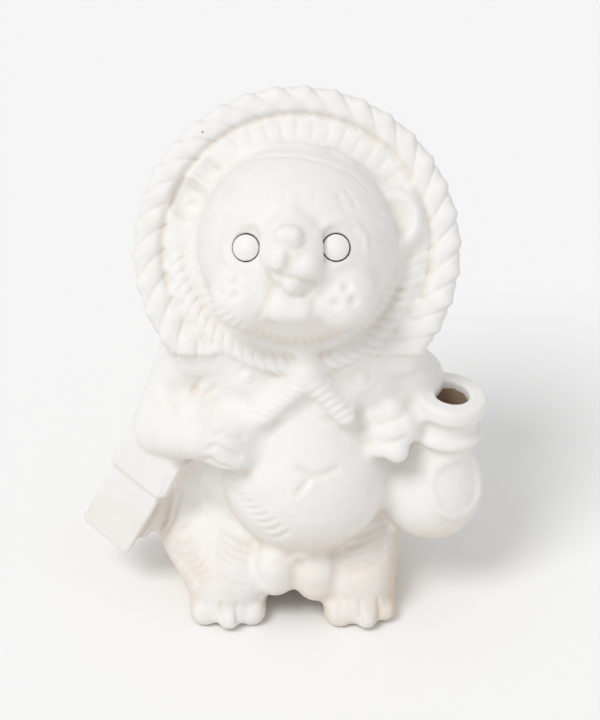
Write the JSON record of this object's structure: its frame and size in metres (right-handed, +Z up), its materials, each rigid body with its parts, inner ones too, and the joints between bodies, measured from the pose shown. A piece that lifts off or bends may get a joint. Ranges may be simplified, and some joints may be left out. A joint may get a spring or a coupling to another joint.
{
  "type": "tanuki statue",
  "caption": "Standing ceramic tanuki ornament with a rope-rimmed straw hat behind its head, loose round eyes, a drum belly, a ledger at one side and an open-mouthed sake bottle at the other.",
  "frame": {"origin": "floor under the middle of the figure's bounding box", "axes": "+Z up, front towards -Y, +X to the viewer's right, where the bottle is"},
  "size_m": [0.0958, 0.0582, 0.1205],
  "materials": {
    "white_slip": "matte",
    "eye_slip": "matte"
  },
  "bodies": {
    "figure": {"arm_left": "white_slip", "arm_right": "white_slip", "belly": "white_slip", "bottle": "white_slip", "bottle_cord": "white_slip", "bottle_ring": "white_slip", "breast_left": "white_slip", "breast_right": "white_slip", "cheek_left": "white_slip", "cheek_right": "white_slip", "chin": "white_slip", "chin_rope": "white_slip", "ear_left": "white_slip", "ear_right": "white_slip", "foot_left": "white_slip", "foot_right": "white_slip", "hand_left": "white_slip", "hand_right": "white_slip", "hat": "white_slip", "hat_rim": "white_slip", "head": "white_slip", "ledger_back_cover": "white_slip", "ledger_band": "white_slip", "ledger_front_cover": "white_slip", "ledger_pages": "white_slip", "leg_left": "white_slip", "leg_right": "white_slip", "nose": "white_slip", "pouch_knob": "white_slip", "pouch_left": "white_slip", "pouch_right": "white_slip", "rope_knot": "white_slip", "rope_tail_left": "white_slip", "rope_tail_right": "white_slip", "snout": "white_slip", "tail": "white_slip", "tongue": "white_slip", "torso": "white_slip"},
    "left_eye": {"eye_left": "eye_slip"},
    "right_eye": {"eye_right": "eye_slip"}
  },
  "joints": [
    {"name": "left_eye_turn", "type": "hinge", "parent": "figure", "child": "left_eye", "pos_m": [-0.0069, -0.01341, 0.09915], "axis": [-0.2419, -0.7948, 0.5565], "continuous": true},
    {"name": "right_eye_turn", "type": "hinge", "parent": "figure", "child": "right_eye", "pos_m": [0.01192, -0.01449, 0.09991], "axis": [0.1045, -0.8147, 0.5704], "continuous": true}
  ]
}
